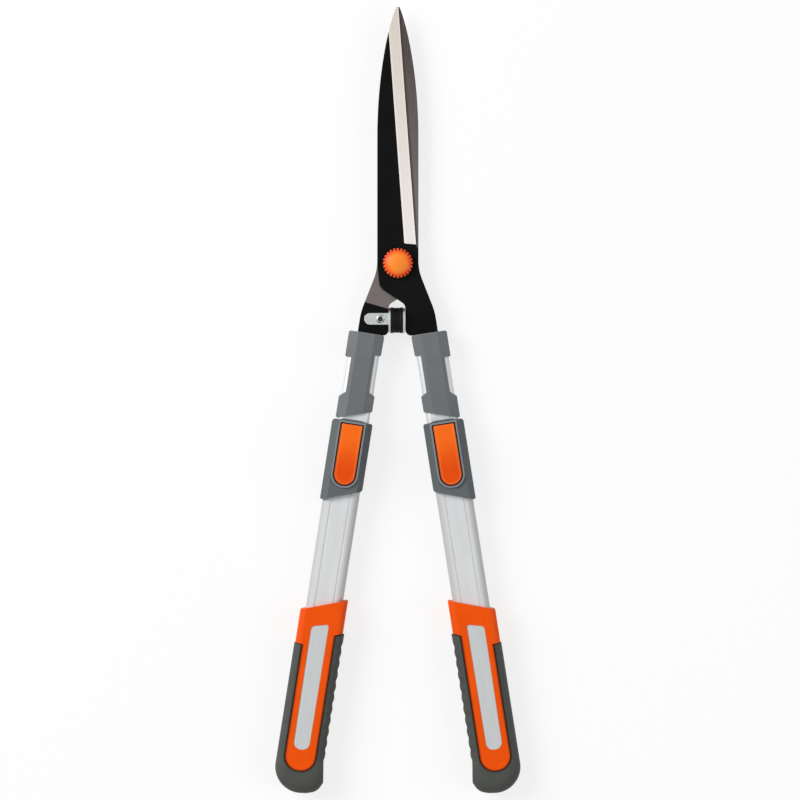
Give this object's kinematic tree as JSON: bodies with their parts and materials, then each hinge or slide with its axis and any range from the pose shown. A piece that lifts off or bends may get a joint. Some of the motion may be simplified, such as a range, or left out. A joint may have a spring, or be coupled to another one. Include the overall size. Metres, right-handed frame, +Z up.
{
  "type": "telescopic hedge shears",
  "caption": "Hedge shears with straight coated blades, knurled tension knob, rubber bumper and telescopic flip-lock handles with soft grips.",
  "frame": {"origin": "on the ground under the middle of the closed shears, lying on their grips", "axes": "+Y towards the blade tips, +Z up from the ground, +X to the right-hand handle; the upper blade's tang goes to that handle"},
  "size_m": [0.2178, 0.6987, 0.0305],
  "materials": {
    "coated_steel": "black non-stick coating, satin; the ground bevel and the inner faces are bare steel",
    "zinc_steel": "zinc plated",
    "spring_steel": "bare spring steel",
    "bracket_chrome": "bright plated",
    "bumper_rubber": "moulded, smooth",
    "knob_plastic": "moulded, slightly glossy",
    "lever_plastic": "moulded, satin",
    "grip_plastic": "moulded, satin",
    "grip_rubber": "soft moulded cover, fine matt grain",
    "socket_nylon": "glass-filled nylon, satin",
    "collar_nylon": "glass-filled nylon, satin",
    "insert_nylon": "moulded nylon",
    "tube_aluminium": "extruded and satin anodised",
    "trim_aluminium": "satin silver"
  },
  "bodies": {
    "upper_half": {"upper_blade": "coated_steel", "pivot_bolt": "zinc_steel", "front_washer": "zinc_steel", "wave_washer": "spring_steel", "back_washer": "zinc_steel", "right_socket": "socket_nylon", "right_tang_insert": "insert_nylon", "right_socket_screws": "zinc_steel", "right_inner_tube": "tube_aluminium", "right_glide_plug": "insert_nylon"},
    "lower_half": {"lower_blade": "coated_steel", "bumper_bracket": "bracket_chrome", "bumper": "bumper_rubber", "strike_plate": "bracket_chrome", "bumper_screw": "zinc_steel", "bracket_bolt": "zinc_steel", "bracket_nut": "zinc_steel", "left_socket": "socket_nylon", "left_tang_insert": "insert_nylon", "left_socket_screws": "zinc_steel", "left_inner_tube": "tube_aluminium", "left_glide_plug": "insert_nylon"},
    "knob": {"tension_knob": "knob_plastic", "pivot_nut": "zinc_steel"},
    "right_handle": {"right_outer_tube": "tube_aluminium", "right_lock_collar": "collar_nylon", "right_collar_screws": "zinc_steel", "right_lever_pin": "spring_steel", "right_grip_core": "grip_plastic", "right_grip_cover": "grip_rubber", "right_trim_front": "trim_aluminium", "right_trim_back": "trim_aluminium"},
    "right_lever": {"right_lock_lever": "lever_plastic"},
    "right_shoe": {"right_lock_shoe": "spring_steel"},
    "left_handle": {"left_outer_tube": "tube_aluminium", "left_lock_collar": "collar_nylon", "left_collar_screws": "zinc_steel", "left_lever_pin": "spring_steel", "left_grip_core": "grip_plastic", "left_grip_cover": "grip_rubber", "left_trim_front": "trim_aluminium", "left_trim_back": "trim_aluminium"},
    "left_lever": {"left_lock_lever": "lever_plastic"},
    "left_shoe": {"left_lock_shoe": "spring_steel"}
  },
  "joints": [
    {"name": "blade_pivot", "type": "hinge", "parent": "upper_half", "child": "lower_half", "pos_m": [0, 0.12129, 0.014], "axis": [0, 0, -1], "range_deg": [0, 60]},
    {"name": "knob_turn", "type": "hinge", "parent": "upper_half", "child": "knob", "pos_m": [0, 0.12129, 0.014], "axis": [0, 0, 1], "range_deg": [0, 30]},
    {"name": "right_extension", "type": "slide", "parent": "upper_half", "child": "right_handle", "axis": [0.1547, -0.988, 0], "range_m": [0, 0.15]},
    {"name": "right_lever_hinge", "type": "hinge", "parent": "right_handle", "child": "right_lever", "pos_m": [0.04076, -0.02499, 0.0275], "axis": [-0.988, -0.1547, 0], "range_deg": [0, 80]},
    {"name": "right_shoe_lift", "type": "slide", "parent": "right_handle", "child": "right_shoe", "axis": [0, 0, 1], "range_m": [0, 0.0004]},
    {"name": "left_extension", "type": "slide", "parent": "lower_half", "child": "left_handle", "axis": [-0.1547, -0.988, 0], "range_m": [0, 0.15]},
    {"name": "left_lever_hinge", "type": "hinge", "parent": "left_handle", "child": "left_lever", "pos_m": [-0.04076, -0.02499, 0.0275], "axis": [-0.988, 0.1547, 0], "range_deg": [0, 80]},
    {"name": "left_shoe_lift", "type": "slide", "parent": "left_handle", "child": "left_shoe", "axis": [0, 0, 1], "range_m": [0, 0.0004]}
  ],
  "couplings": [
    {"joint": "right_shoe_lift", "follows": "right_lever_hinge", "m_per_rad": 0.00028},
    {"joint": "left_shoe_lift", "follows": "left_lever_hinge", "m_per_rad": 0.00028}
  ]
}
